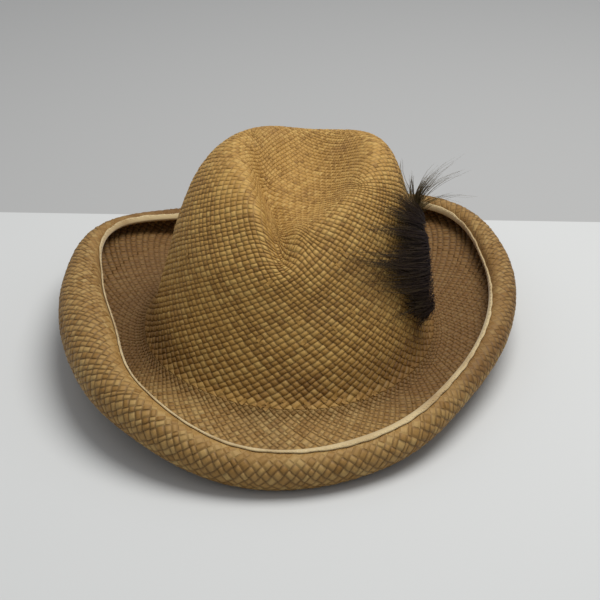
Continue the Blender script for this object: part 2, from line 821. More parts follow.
@dataclass
class Lattice:
    """Where strips cross: nodes on the mid surface, and the four-cornered cells between them."""

    points: np.ndarray
    normals: np.ndarray
    relief: np.ndarray
    cells: np.ndarray
    strips: np.ndarray
    steps: np.ndarray
    over: np.ndarray | None = None
    sunk: np.ndarray | None = None
    # Depth of the shallowest corner in shares of the usual one, and the spread of depths
    sunk_least: float = 0.7
    sunk_spread: float = 0.6

    def weave(self, rng: np.random.Generator) -> None:
        """Settle which strip lies on top in each cell, and how deep each corner is."""
        self.over = self.weave_order()
        self.sunk = self.sunk_least + self.sunk_spread * rng.random(len(self.points))

    def part(self, kept: np.ndarray) -> "Lattice":
        """Take some of the cells, woven as they are in the whole."""
        used, renumbered = np.unique(self.cells[kept], return_inverse=True)
        nodes = (self.points[used], self.normals[used], self.relief[used])
        crossings = (renumbered.reshape(-1, 4), self.strips[kept], self.steps[kept])
        return Lattice(*nodes, *crossings, self.over[kept], self.sunk[used])

    def edges(self) -> tuple[np.ndarray, np.ndarray]:
        """List the edges between crossings, and each cell's four of them."""
        pairs = np.stack([self.cells, np.roll(self.cells, -1, axis=1)], axis=-1)
        edges, inverse = np.unique(np.sort(pairs.reshape(-1, 2), axis=1), axis=0, return_inverse=True)
        return edges, inverse.reshape(-1, 4)

    def weave_order(self) -> np.ndarray:
        """Tell which strip lies on top in each cell, so that each goes over one and under one.

        Returns:
            For each cell, 0 if the strip from corner 0 to corner 1 is on top, and 1 if the other is.
        """
        edge_of = self.edges()[1].tolist()
        sides: dict[int, list[tuple[int, int]]] = {}
        for cell, edges in enumerate(edge_of):
            for side, edge in enumerate(edges):
                sides.setdefault(edge, []).append((cell, side % 2))
        over = [-1] * len(edge_of)
        for start in range(len(edge_of)):
            if over[start] >= 0:
                continue
            over[start] = 0
            queue = [start]
            while queue:
                cell = queue.pop()
                for side, edge in enumerate(edge_of[cell]):
                    crossing_is_up = over[cell] != side % 2
                    for other, parity in sides[edge]:
                        if over[other] < 0:
                            over[other] = parity if crossing_is_up else 1 - parity
                            queue.append(other)
        return np.array(over)


@dataclass
class PlaitMesh:
    """Turns a lattice into a closed mesh of over-and-under strips with two faces."""

    lattice: Lattice
    rng: np.random.Generator
    wall: float
    # Places of the relief's points inside a cell: on its sides, and along and across the top strip
    side_place: float = 0.17
    along_place: float = 0.27
    across_place: float = 0.1
    node_level: float = -1.1
    side_level: float = -0.3
    strip_level: float = 0.55
    unevenness: float = 0.34
    # How dark a plain face is all over, and how far every map place stays inside its cell
    plain_dark: float = 0.3
    inset: float = 0.002

    def __post_init__(self) -> None:
        """Number the lattice's edges, and start with nothing built."""
        self.edges, self.edge_of = self.lattice.edges()
        self.tones = np.random.default_rng(SEED).random(int(self.lattice.strips.max()) + 1)
        self.points: list[np.ndarray] = []
        self.outward: list[np.ndarray] = []
        self.level: list[np.ndarray] = []
        self.faces: list[list[int]] = []
        self.uv: list[np.ndarray] = []
        self.shade: list[np.ndarray] = []
        self.count = 0

    def build(self, name: str, details: dict[Face, Detail]) -> Object:
        """Build the mesh.

        Args:
            name: the object's name.
            details: how each face is made.

        Returns:
            The object, with its relief still flat and stored as an attribute.
        """
        bases = {}
        for face, detail in details.items():
            bases[face] = self.count
            over = self.lattice.over if face is Face.OUTER else 1 - self.lattice.over
            add = self.add_woven if detail is Detail.WOVEN else self.add_plain
            add(over, face)
        faces_of_straw = len(self.faces)
        self.close_sides(details, bases)
        mesh = new_mesh(name, np.concatenate(self.points), [], self.faces)
        add_attribute(mesh, "outward", "FLOAT_VECTOR", "POINT", np.concatenate(self.outward))
        add_attribute(mesh, "level", "FLOAT", "POINT", np.concatenate(self.level))
        add_uv(mesh, "plait", np.concatenate(self.uv))
        add_attribute(mesh, "strip", "FLOAT_COLOR", "CORNER", np.concatenate(self.shade))
        add_attribute(mesh, "side", "FLOAT", "FACE", np.arange(len(self.faces)) >= faces_of_straw)
        return new_object(name, mesh)

    def add_points(self, weights: np.ndarray, corners: np.ndarray, level: np.ndarray, face: Face) -> None:
        """Add points that lie between corners of the lattice, on one face of the straw."""
        lattice = self.lattice
        normal = unit(np.einsum("nk,nkd->nd", weights, lattice.normals[corners])) * face.value
        middle = np.einsum("nk,nkd->nd", weights, lattice.points[corners])
        relief = np.einsum("nk,nk->n", weights, lattice.relief[corners])
        self.points.append(middle + normal * self.wall / 2)
        self.outward.append(normal)
        self.level.append(level * relief)
        self.count += len(level)

    def add_nodes(self, level: np.ndarray, face: Face) -> None:
        """Add one point at every crossing."""
        nodes = len(self.lattice.points)
        self.add_points(np.ones((nodes, 1)), np.arange(nodes)[:, None], level, face)

    def add_woven(self, over: np.ndarray, face: Face) -> None:
        """Add one face in relief: sixteen points and nine patches for each crossing."""
        lattice, edges = self.lattice, self.edges
        base, nodes, cells = self.count, len(lattice.points), len(lattice.cells)
        self.add_nodes(self.node_level * lattice.sunk, face)
        for place in (self.side_place, 1 - self.side_place):
            share = np.tile([1 - place, place], (len(edges), 1))
            self.add_points(share, edges, np.full(len(edges), self.side_level), face)
        along = np.array([self.along_place, 1 - self.along_place])
        across = np.array([self.across_place, 1 - self.across_place])
        tilt = self.unevenness * (self.rng.random((cells, 4)) - 0.5) * 2
        local = np.zeros((cells, 4, 2))
        for corner, (a, b) in enumerate(CELL_CORNERS):
            first = np.where(over == 0, along[a], across[a])
            second = np.where(over == 0, across[b], along[b])
            local[:, corner] = np.stack([first, second], axis=1)
            near, far = 1 - first, 1 - second
            weight = np.stack([near * far, first * far, first * second, near * second], axis=1)
            self.add_points(weight, lattice.cells, self.strip_level + tilt[:, corner], face)
        # Every crossing is a grid of four by four points: which, where in the cell, and how dark
        grid = np.zeros((cells, 4, 4), int)
        place = np.zeros((cells, 4, 4, 2))
        depth = np.zeros((4, 4))
        for corner, (a, b) in enumerate(CELL_CORNERS):
            c, d = CELL_CORNERS[(corner + 1) % 4]
            grid[:, 3 * a, 3 * b] = base + lattice.cells[:, corner]
            place[:, 3 * a, 3 * b] = (a, b)
            depth[3 * a, 3 * b] = 1
            is_forward = lattice.cells[:, corner] < lattice.cells[:, (corner + 1) % 4]
            start = base + nodes + self.edge_of[:, corner]
            near = np.where(is_forward, start, start + len(edges))
            far = np.where(is_forward, start + len(edges), start)
            for third, index, share in ((1, near, self.side_place), (2, far, 1 - self.side_place)):
                i, j = 3 * a + third * (c - a), 3 * b + third * (d - b)
                grid[:, i, j] = index
                place[:, i, j] = (a + (c - a) * share, b + (d - b) * share)
                depth[i, j] = 0.5
            grid[:, 1 + a, 1 + b] = base + nodes + 2 * len(edges) + corner * cells + np.arange(cells)
            place[:, 1 + a, 1 + b] = local[:, corner]
        cell_tone = self.rng.random(cells)
        for a in range(3):
            for b in range(3):
                ring = ((a, b), (a + 1, b), (a + 1, b + 1), (a, b + 1))[:: face.value]
                corners = np.stack([grid[:, i, j] for i, j in ring], axis=1)
                spot = np.stack([place[:, i, j] for i, j in ring], axis=1)
                dark = np.tile([depth[i, j] for i, j in ring], (cells, 1))
                self.add_faces(corners, spot, dark, over, cell_tone)

    def add_plain(self, over: np.ndarray, face: Face) -> None:
        """Add one face with a single patch for each crossing."""
        base, cells = self.count, len(self.lattice.cells)
        self.add_nodes(np.zeros(len(self.lattice.points)), face)
        corners = base + self.lattice.cells[:, :: face.value]
        spot = np.tile(np.array(CELL_CORNERS, float)[:: face.value], (cells, 1, 1))
        dark = np.full((cells, 4), self.plain_dark)
        self.add_faces(corners, spot, dark, over, self.rng.random(cells))

    def add_faces(
        self, corners: np.ndarray, spot: np.ndarray, dark: np.ndarray, over: np.ndarray, cell_tone: np.ndarray
    ) -> None:
        """Add one patch in every cell.

        Args:
            corners: the points of each patch.
            spot: where those lie in the cell.
            dark: how deep in shadow they are.
            over: which strip is on top.
            cell_tone: a random tone for each cell.
        """
        lattice, is_first = self.lattice, over == 0
        spot = np.where(is_first[:, None, None], spot[..., ::-1], spot)
        lane, step = (np.where(is_first, of[:, 0], of[:, 1]) for of in (lattice.strips, lattice.steps))
        uv = np.clip(spot, self.inset, 1 - self.inset) + np.stack([lane, step], axis=1)[:, None, :]
        relief = lattice.relief[lattice.cells].mean(axis=1)[:, None]
        tones = (self.tones[lane][:, None], cell_tone[:, None], dark * relief, relief)
        shade = np.stack([np.broadcast_to(tone, dark.shape) for tone in tones], axis=-1)
        self.faces.extend(corners.tolist())
        self.uv.append(uv.reshape(-1, 2))
        self.shade.append(shade.reshape(-1, 4))

    def close_sides(self, details: dict[Face, Detail], bases: dict[Face, int]) -> None:
        """Join the two faces along every free edge of the lattice."""
        lattice, edge_of = self.lattice, self.edge_of
        used = np.bincount(edge_of.ravel(), minlength=len(self.edges))
        for cell, side in zip(*np.nonzero(used[edge_of] == 1)):
            first, second = lattice.cells[cell, side], lattice.cells[cell, (side + 1) % 4]
            chains = {}
            for face, base in bases.items():
                chain = [base + first, base + second]
                if details[face] is Detail.WOVEN:
                    start = base + len(lattice.points) + edge_of[cell, side]
                    middle = [start, start + len(self.edges)]
                    chain[1:1] = middle if first < second else middle[::-1]
                chains[face] = chain
            ring = chains[Face.OUTER][::-1] + chains[Face.INNER]
            self.faces.append([int(index) for index in ring])
            lane, step = lattice.strips[cell, 0], lattice.steps[cell, 0]
            self.uv.append(np.tile([lane + 0.5, step + 0.5], (len(ring), 1)))
            self.shade.append(np.tile([0.5, 0.5, 0.6, 1.0], (len(ring), 1)))


@dataclass(frozen=True)
class PlaitRelief:
    """The tree that presses the strips' relief into a flat plait, seeded and kept off the floor."""

    height_mm: float = 0.52
    wander_mm: float = 0.5
    wander_size_mm: float = 14.0
    seed: int = SEED

    def run(self, piece: Object, finish: Material) -> None:
        """Build the tree and run it on a piece."""
        sizes = {
            "Strip height": self.height_mm * METRES,
            "Wander": self.wander_mm * METRES,
            "Wander size": self.wander_size_mm * METRES,
            "Floor": 0.0,
            "Seed": self.seed,
        }
        tree, start = new_tree("plait relief", sizes)
        level = {0: named_attribute(tree, "level", "FLOAT"), 1: start.outputs["Strip height"]}
        pressed = add_node(tree, "ShaderNodeMath", level, MULTIPLY)
        outward = {0: named_attribute(tree, "outward", "FLOAT_VECTOR"), "Scale": pressed}
        relief = add_node(tree, "ShaderNodeVectorMath", outward, SCALE)
        wander = add_drift(tree, start, "Wander size", start.outputs["Wander"], 2.0)
        offset = add_node(tree, "ShaderNodeVectorMath", {0: relief, 1: wander}, {"operation": "ADD"})
        shift = {"Geometry": start.outputs["Geometry"], "Offset": offset}
        moved = add_node(tree, "GeometryNodeSetPosition", shift)
        # No point of the hat is a metre from the middle, so only the floor holds points back
        lowest = add_node(tree, "ShaderNodeCombineXYZ", {"X": -1.0, "Y": -1.0, "Z": start.outputs["Floor"]})
        position = add_node(tree, "GeometryNodeInputPosition")
        held = add_node(tree, "ShaderNodeVectorMath", {0: position, 1: lowest}, MAXIMUM)
        rested = add_node(tree, "GeometryNodeSetPosition", {"Geometry": moved, "Position": held})
        run_tree(piece, tree, sizes, rested, finish)


def index_grid(rows: np.ndarray, columns: np.ndarray) -> tuple[np.ndarray, np.ndarray]:
    """List the rows and the columns of a grid's places, row by row."""
    row, column = np.meshgrid(rows, columns, indexing="ij")
    return row.ravel(), column.ravel()


def side_cells(half_rows: int, n: int) -> tuple[np.ndarray, np.ndarray, np.ndarray]:
    """List the cells of a plait that goes round.

    Args:
        half_rows: how many half rows of crossings stand above the first.
        n: how many strips of each kind go round.

    Returns:
        The corners of each cell, its two strips, and how far along each strip it lies.
    """
    row, column = index_grid(np.arange(-1, half_rows - 1), np.arange(n))
    odd = row % 2
    corners = ((row, column), (row + 1, column + odd), (row + 2, column), (row + 1, column + odd - 1))
    cells = np.stack([side_node(half_row, index, n) for half_row, index in corners], axis=1)
    # Numbers of the strips that climb to the left and to the right through each cell
    p = np.rint(column + 0.5 * odd + row / 2).astype(int)
    q = np.rint(column + 0.5 * odd - row / 2).astype(int)
    strips = np.stack([np.mod(q - 1, n), n + np.mod(p, n)], axis=1)
    return cells, strips, np.stack([np.mod(p, n), np.mod(q, n)], axis=1)


def side_node(half_row: np.ndarray, index: np.ndarray, n: int) -> np.ndarray:
    """Number of a crossing in a plait that goes round; the first half row is -1."""
    return (half_row + 1) * n + np.mod(index, n)


@dataclass
class CrownPlait:
    """The crown: strips round its side, drawn together over a top that was started as a square."""

    form: StrawForm
    strips_round: int = 88
    rows: int = 32
    # How much wider than tall the diamonds between strips lie on the side
    flatness: float = 1.4
    rim_station: float = 0.57
    # Direction of one corner of the square from which the top was started
    corner_direction: float = 52.0
    # How far the finished top is turned on the foot, and the stations over which it turns
    twist: float = 10.0
    twist_from: float = -0.1
    twist_to: float = 0.62
    width_spread: float = 0.18
    # How much flatter the strips lie on the top than on the side, in full from this station on
    top_flattening: float = 0.6
    flat_station: float = 0.8
    rounds: int = 260
    momentum: float = 0.93
    # Step in the flat layout over which the crown's slope is measured
    nudge: float = 1e-3

    def lattice(self, rng: np.random.Generator) -> Lattice:
        """Lay out the crossings of the side and of the top, and even them out."""
        n, half_rows = self.strips_round, 2 * self.rows
        rings = n // 4
        corner = math.radians(self.corner_direction)
        row, column = index_grid(np.arange(-1, half_rows + 1), np.arange(n))
        turn = (column + 0.5 * (row % 2)) / n
        share = np.maximum(row, 0) / half_rows
        side = self.plan(corner + turn * FULL_TURN, 1 - share * self.rim_station)
        cells, strips, steps = side_cells(half_rows, n)

        spread = np.arange(-rings - 1, rings + 2)
        x, y = index_grid(spread, spread)
        ring, turn = self.diamond(x, y)
        number = np.full(len(x), -1)
        inner = ring < rings
        number[inner] = len(side) + np.arange(inner.sum())
        on_rim = ring == rings
        number[on_rim] = side_node(half_rows, np.rint(turn[on_rim] * n).astype(int), n)
        outer = (ring == rings + 1) & (x != 0) & (y != 0)
        quarter = np.floor(turn[outer] * 4)
        place = quarter * rings + (turn[outer] * 4 - quarter) * (rings + 1) - 1
        number[outer] = side_node(half_rows - 1, np.rint(place).astype(int), n)
        width = len(spread)
        table = number.reshape(width, width)
        # The square cells of the top, by their own two directions
        a, b = index_grid(np.arange(width - 1), np.arange(width - 1))
        squares = np.stack([table[a, b], table[a + 1, b], table[a + 1, b + 1], table[a, b + 1]], axis=1)
        is_whole = (squares >= 0).all(axis=1)
        squares, a, b = squares[is_whole], a[is_whole], b[is_whole]

        cells = np.concatenate([cells, squares])
        strips = np.concatenate([strips, np.stack([2 * n + b, 2 * n + width + a], axis=1)])
        steps = np.concatenate([steps, np.stack([a, b], axis=1)])
        top = self.plan(corner + turn[inner] * FULL_TURN, (1 - self.rim_station) * ring[inner] / rings)
        plan = self.relaxed(np.concatenate([side, top]), cells, strips, 2 * n, rng)
        angle, station = self.polar(plan)
        angle = angle + math.radians(self.twist) * ease(self.twist_from, self.twist_to, station)
        points, normals = self.form.crown(angle, station), self.form.crown_normal(angle, station)
        relief = 1 - self.top_flattening * ease(self.rim_station, self.flat_station, station)
        relief[: 2 * n] = 0.0
        return Lattice(points, normals, relief, cells, strips, steps)

    @staticmethod
    def plan(angle: np.ndarray, reach: np.ndarray) -> np.ndarray:
        """Lay the crown out flat, with its top in the middle and its foot on a circle."""
        return np.stack([reach * np.cos(angle), reach * np.sin(angle)], axis=-1)

    @staticmethod
    def polar(plan: np.ndarray) -> tuple[np.ndarray, np.ndarray]:
        """Angle and station of places in the flat layout."""
        station = np.clip(1 - np.hypot(plan[:, 0], plan[:, 1]), 0, 1)
        return np.arctan2(plan[:, 1], plan[:, 0]), station

    @staticmethod
    def diamond(x: np.ndarray, y: np.ndarray) -> tuple[np.ndarray, np.ndarray]:
        """Ring of a place in the square top, and how far round the ring it is, from 0 to 1."""
        ring = np.abs(x) + np.abs(y)
        safe = np.maximum(ring, 1)
        quarters = [(x > 0) & (y >= 0), (x <= 0) & (y > 0), (x < 0) & (y <= 0)]
        turn = np.select(quarters, [y / safe, 1 - x / safe, 2 - y / safe], 3 + x / safe)
        return ring, np.mod(turn / 4, 1)

    def relaxed(
        self, plan: np.ndarray, cells: np.ndarray, strips: np.ndarray, held: int, rng: np.random.Generator
    ) -> np.ndarray:
        """Even out the crossings, as strips of nearly one width lie on the hand-shaped crown.

        Args:
            plan: the crossings in the flat layout.
            cells: the corners of each cell.
            strips: the two strips that cross in each cell.
            held: how many of the first crossings stay on the foot.
            rng: the source of the strips' widths.

        Returns:
            The crossings, moved along the crown until neighbours pull on them evenly.
        """
        size = len(plan)
        width = 1 + self.width_spread * (rng.random(int(strips.max()) + 1) - 0.5) * 2
        pull = (1 / width[strips[:, [1, 0, 1, 0]]]).ravel()
        first, second = cells.ravel(), np.roll(cells, -1, axis=1).ravel()

        def pulled(value: np.ndarray) -> np.ndarray:
            """Sum up a value over the neighbours of each crossing."""
            one_way = np.bincount(first, pull * value[second], size)
            return one_way + np.bincount(second, pull * value[first], size)

        def place(east: float, north: float) -> np.ndarray:
            """The crossings on the crown, all moved in the flat layout."""
            return self.form.crown(*self.polar(plan + (east, north))) * (1, 1, self.flatness)

        total = pulled(np.ones(size))
        speed = np.zeros_like(plan)
        for _ in range(self.rounds):
            here = place(0, 0)
            east = (place(self.nudge, 0) - here) / self.nudge
            north = (place(0, self.nudge) - here) / self.nudge
            drift = np.stack([pulled(axis) / total for axis in here.T], axis=1) - here
            # The move in the flat layout that comes nearest to this drift on the crown
            pairs = ((east, east), (north, north), (east, north), (drift, east), (drift, north))
            ee, nn, en, de, dn = ((one * other).sum(1) for one, other in pairs)
            move = np.stack([de * nn - dn * en, dn * ee - de * en], axis=1)
            speed = self.momentum * speed + move / (ee * nn - en * en)[:, None]
            speed[:held] = 0
            plan = plan + speed
        return plan

    def build(self, finish: Material) -> None:
        """Build the crown in relief outside and plain inside."""
        rng = np.random.default_rng(SEED)
        lattice = self.lattice(rng)
        lattice.weave(rng)
        details = {Face.OUTER: Detail.WOVEN, Face.INNER: Detail.PLAIN}
        piece = PlaitMesh(lattice, rng, self.form.wall).build("crown_plait", details)
        PlaitRelief().run(piece, finish)
        finish_piece(piece, ("crown",))


@dataclass
class BrimPlait:
    """The brim: strips from the foot out to the free edge, round the curl."""

    form: StrawForm
    strips_round: int = 165
    row_at_foot: float = 3.5
    row_at_roll: float = 5.1
    roll_distance: float = 50.0
    # Where the flat of the brim ends and the roll begins, in half rows from the foot
    flat_rows: int = 20
    edge_allowance: float = 0.4
    # The relief fades out over these distances from the edge, just before the tape
    fade_from: float = -8.0
    fade_to: float = -6.0
    # How much flatter the strips lie on the flat of the brim than round the roll, and what is left
    # of the relief where the two meet
    flat_flattening: float = 0.35
    seam_relief: float = 0.3
    jitter: float = 0.2
    lean: float = -0.35
    lean_direction: float = 228.0
    lean_spread: float = 30.0

    def lattice(self, rng: np.random.Generator) -> tuple[Lattice, np.ndarray]:
        """Lay out the crossings, and tell which cells lie inside the free edge."""
        n = self.strips_round
        distances = [0.0]
        longest = max(row.length for row in BRIM_SECTIONS) + 3
        while distances[-1] < longest:
            share = min(distances[-1] / self.roll_distance, 1)
            step = self.row_at_foot + (self.row_at_roll - self.row_at_foot) * share
            distances.append(distances[-1] + step / 2)
        half_rows = len(distances) - 1
        line_shift = self.jitter * (rng.random((2, n)) - 0.5) * 2
        row, column = index_grid(np.arange(-1, half_rows + 1), np.arange(n))
        # Places round the foot and away from it, in strips
        s = column + 0.5 * (row % 2)
        v = row / 2
        first, second = np.rint(s + v).astype(int) % n, np.rint(s - v).astype(int) % n
        ds = (line_shift[0][first] + line_shift[1][second]) / 2
        dv = (line_shift[0][first] - line_shift[1][second]) / 2 * ease(0, 3, v)
        angle = self.turned(s + ds, np.maximum(v, 0))
        wanted = np.interp(np.maximum(v + dv, 0) * 2, np.arange(half_rows + 1), distances)
        last = self.form.length(angle) - self.edge_allowance
        distance = np.minimum(wanted, last)
        points = self.form.brim(angle, distance)
        normals = -self.form.brim_normal(angle, distance)
        relief = 1 - ease(self.fade_from, self.fade_to, distance - last)
        relief *= 1 - self.flat_flattening * ease(self.flat_rows + 4, self.flat_rows - 6, row)
        relief[(row == self.flat_rows - 1) | (row == self.flat_rows)] *= self.seam_relief
        relief[row <= 0] = 0.0
        cells, strips, steps = side_cells(half_rows, n)
        whole = Lattice(points, normals, relief, cells, strips, steps)
        whole.weave(rng)
        return whole, ~(wanted >= last)[cells].all(axis=1)

    def turned(self, s: np.ndarray, v: np.ndarray) -> np.ndarray:
        """Angle of a crossing: the rows lean at the front of the wearer's right side."""
        angle = s / self.strips_round * FULL_TURN
        off = (np.mod(np.degrees(angle), 360) - self.lean_direction) / self.lean_spread
        lean = self.lean * np.exp(-(off**2))
        return angle - lean * (v - self.flat_rows / 2) / self.strips_round * FULL_TURN

    def build(self, finish: Material) -> None:
        """Build the flat of the brim and its roll, in relief on both faces."""
        rng = np.random.default_rng(SEED + 1)
        whole, kept = self.lattice(rng)
        is_flat = np.arange(len(whole.cells)) < self.flat_rows * self.strips_round
        details = {Face.OUTER: Detail.WOVEN, Face.INNER: Detail.WOVEN}
        for name, cells in (("brim_plait_flat", kept & is_flat), ("brim_plait_roll", kept & ~is_flat)):
            piece = PlaitMesh(whole.part(cells), rng, self.form.wall).build(name, details)
            PlaitRelief(wander_mm=0.0, seed=SEED + 1).run(piece, finish)
            finish_piece(piece, ("brim",))


# Edge binding


@dataclass
class EdgeBinding:
    """Cotton tape folded over the free edge, with zigzag stitches along both hems."""

    form: StrawForm
    overlap: float = 5.2
    # How far the tape reaches down the roll's outer face: directions in degrees, reach in mm
    roll_directions: tuple[float, ...] = (0, 90, 180, 250, 275, 295, 315, 340)
    roll_reaches: tuple[float, ...] = (2.2, 3.0, 1.9, 1.5, 1.9, 4.2, 3.6, 2.4)
    cloth: float = 0.7
    nose: float = 1.2
    nose_points: int = 7
    columns: int = 620
    hem_wander: float = 0.2
    hem_waves: tuple[int, ...] = (17, 29, 43, 71)
    stitch_spacing: float = 2.1
    stitch_inset: float = 0.55
    stitch_length: float = 1.9
    stitch_thick: float = 0.36
    stitch_slant: float = 52.0
    # Small steps that give the directions along the hem, in radians, and off the tape, as a factor
    step_ahead: float = 0.004
    step_off: float = 1.2

    def roll_reach(self, angle: np.ndarray) -> np.ndarray:
        """How far the tape reaches down the roll's outer face in a direction."""
        return np.interp(np.degrees(angle), self.roll_directions, self.roll_reaches, period=360)

    def section(self) -> list[tuple[float, float, float]]:
        """The tape's section, once round.

        Returns:
            For each corner, its shares of the overlap and of the roll's overlap, the distance that
            is added to them going back from the free edge, and its place off the mid surface.
        """
        gap = self.form.gap
        slot = self.form.wall / 2 + gap
        skin = slot + self.cloth
        bends = [math.pi * (0.5 - i / (self.nose_points - 1)) for i in range(self.nose_points)]
        return [
            (1, 0, 0, slot),
            (1, 0, 0, skin - gap),
            (1, 0, -gap, skin),
            (0.5, 0, 0, skin),
            *((0, 0, -self.nose * math.cos(bend), skin * math.sin(bend)) for bend in bends),
            (0, 0.5, 0, -skin),
            (0, 1, -gap, -skin),
            (0, 1, 0, gap - skin),
            (0, 1, 0, -slot),
            (0, 0, -gap, -slot),
            (0, 0, -gap, slot),
        ]

    def place(self, angle: np.ndarray, back: np.ndarray, off: np.ndarray) -> np.ndarray:
        """Points at a distance back from the free edge and off the straw's mid surface."""
        length = self.form.length(angle)
        distance = length - np.maximum(back, 0)
        normal = self.form.brim_normal(angle, distance)
        point = self.form.brim(angle, distance) + normal * off[..., None]
        edge = self.form.brim(angle, length) - self.form.brim(angle, length - 1)
        return point + unit(edge) * np.maximum(-back, 0)[..., None]

    def build(self, finish: Material, thread: Material) -> None:
        """Build the tape and its stitches."""
        rng = np.random.default_rng(SEED + 2)
        upper, under, extra, off = (np.array(column) for column in zip(*self.section()))
        count = len(off)
        angle = np.linspace(0, FULL_TURN, self.columns, endpoint=False)
        wave = sum(rng.random() * np.sin(angle * n + rng.random() * FULL_TURN) for n in self.hem_waves)
        wave = wave[:, None] * self.hem_wander
        back = upper * (self.overlap + wave) + under * (self.roll_reach(angle)[:, None] - wave) + extra
        points = self.place(np.tile(angle[:, None], (1, count)), back, np.tile(off, (self.columns, 1)))
        i, j = index_grid(np.arange(self.columns), np.arange(count))
        i2, j2 = (i + 1) % self.columns, (j + 1) % count
        faces = np.stack([i * count + j, i * count + j2, i2 * count + j2, i2 * count + j], axis=1)
        mesh = new_mesh("edge_tape", points, [], faces.tolist())
        lengthwise = walked(np.append(points[:, 0], points[:1, 0], axis=0))
        crosswise = walked(np.append(points[0], points[0, :1], axis=0))
        u = np.stack([lengthwise[i], lengthwise[i], lengthwise[i + 1], lengthwise[i + 1]], axis=1)
        v = np.stack([crosswise[j], crosswise[j + 1], crosswise[j + 1], crosswise[j]], axis=1)
        add_uv(mesh, "cloth", np.stack([u, v], axis=-1))
        mesh.materials.append(finish)
        finish_piece(new_object("edge_tape", mesh), ("edge_binding",))
        self.add_stitches(thread)

    def add_stitches(self, thread: Material) -> None:
        """Lay a zigzag of thread along both hems of the tape."""
        fine = np.linspace(0, FULL_TURN, 4000)
        run = walked(self.form.brim(fine, self.form.length(fine)))
        count = 2 * int(run[-1] / self.stitch_spacing / 2)
        angle = np.interp(np.arange(count) / count * run[-1], run, fine)
        skin = self.form.wall / 2 + self.form.gap + self.cloth
        slant = np.radians(self.stitch_slant) * np.where(np.arange(count) % 2, 1, -1)
        points, turns = [], []
        for face, hem in ((1, np.full(count, self.overlap)), (-1, self.roll_reach(angle))):
            back = hem - self.stitch_inset
            off = np.full(count, face * skin)
            here = self.place(angle, back, off)
            ahead = unit(self.place(angle + self.step_ahead, back, off) - here)
            normal = unit(self.place(angle, back, off * self.step_off) - here)
            sideways = np.cross(normal, ahead)
            points.append(here)
            turns.append(eulers(ahead * np.cos(slant)[:, None] + sideways * np.sin(slant)[:, None], normal))
        piece = point_cloud("tape_stitches", np.concatenate(points), np.concatenate(turns))
        sizes = {"Stitch length": self.stitch_length * METRES, "Thread": self.stitch_thick * METRES}
        tree, start = new_tree("tape stitches", sizes)
        bead = add_node(tree, "GeometryNodeMeshUVSphere", {"Segments": 6, "Rings": 4, "Radius": 0.5})
        length, thick = start.outputs["Stitch length"], start.outputs["Thread"]
        shape = add_node(tree, "ShaderNodeCombineXYZ", {"X": length, "Y": thick, "Z": thick})
        run_tree(piece, tree, sizes, instances(tree, start, bead, shape), thread)
        finish_piece(piece, ())


def walked(points: np.ndarray) -> np.ndarray:
    """Distance walked along a line of points."""
    return np.concatenate([[0], np.cumsum(np.linalg.norm(np.diff(points, axis=0), axis=1))])


def eulers(along: np.ndarray, normal: np.ndarray) -> np.ndarray:
    """Euler angles that turn +X along one direction and +Z to a face's normal."""
    side = unit(np.cross(normal, along))
    up = np.cross(along, side)
    return np.array([Matrix(axes).transposed().to_euler()[:] for axes in zip(along, side, up)])


def point_cloud(name: str, points: np.ndarray, turns: np.ndarray) -> Object:
    """A mesh of loose points in millimetres, each with the turn of what goes there."""
    mesh = new_mesh(name, points, [], [])
    add_attribute(mesh, "turn", "FLOAT_VECTOR", "POINT", turns)
    return new_object(name, mesh)


def instances(
    tree: NodeTree,
    start: Node,
    shape: Node,
    scale: Node | NodeSocket,
) -> Node:
    """Set a shape on every point of a point cloud, turned and scaled."""
    turn = named_attribute(tree, "turn", "FLOAT_VECTOR")
    laid = {"Points": start.outputs["Geometry"], "Instance": shape, "Rotation": turn, "Scale": scale}
    return add_node(tree, "GeometryNodeInstanceOnPoints", laid)


# Plume


@dataclass(frozen=True)
class Habit:
    """How the barbs of one kind of lock lie."""

    barbs: int
    # A lock that stands off the crown at least this far has all its barbs
    full_proud: float
    # Shortest reach of a barb along its lock, and the share of barbs that stray half as far again
    shortest: float
    strays: float
    # How much faster than its lock a barb climbs at first
    spring: float
    # Spread of the barbs across the lock at its root, and what is added to it at its end
    fan_at_root: float
    fan_growth: float
    # Spread in direction, in degrees
    slip: float
    # Share of the quill's height up which the barbs leave it
    root_height: float
    # How far off the crown the tips lie, in shares of the lock's own: the least, and its spread
    tip_least: float
    tip_spread: float
    tint: float


FULL_HABIT = Habit(
    barbs=165,
    full_proud=3.0,
    shortest=0.58,
    strays=0.16,
    spring=0.0,
    fan_at_root=0.6,
    fan_growth=0.6,
    slip=1.1,
    root_height=1.0,
    tip_least=0.0,
    tip_spread=1.0,
    tint=0.0,
)

WISP_HABIT = Habit(
    barbs=64,
    full_proud=20.0,
    shortest=0.48,
    strays=0.0,
    spring=0.6,
    fan_at_root=1.0,
    fan_growth=-0.75,
    slip=0.4,
    root_height=0.5,
    tip_least=0.75,
    tip_spread=0.3,
    tint=0.7,
)


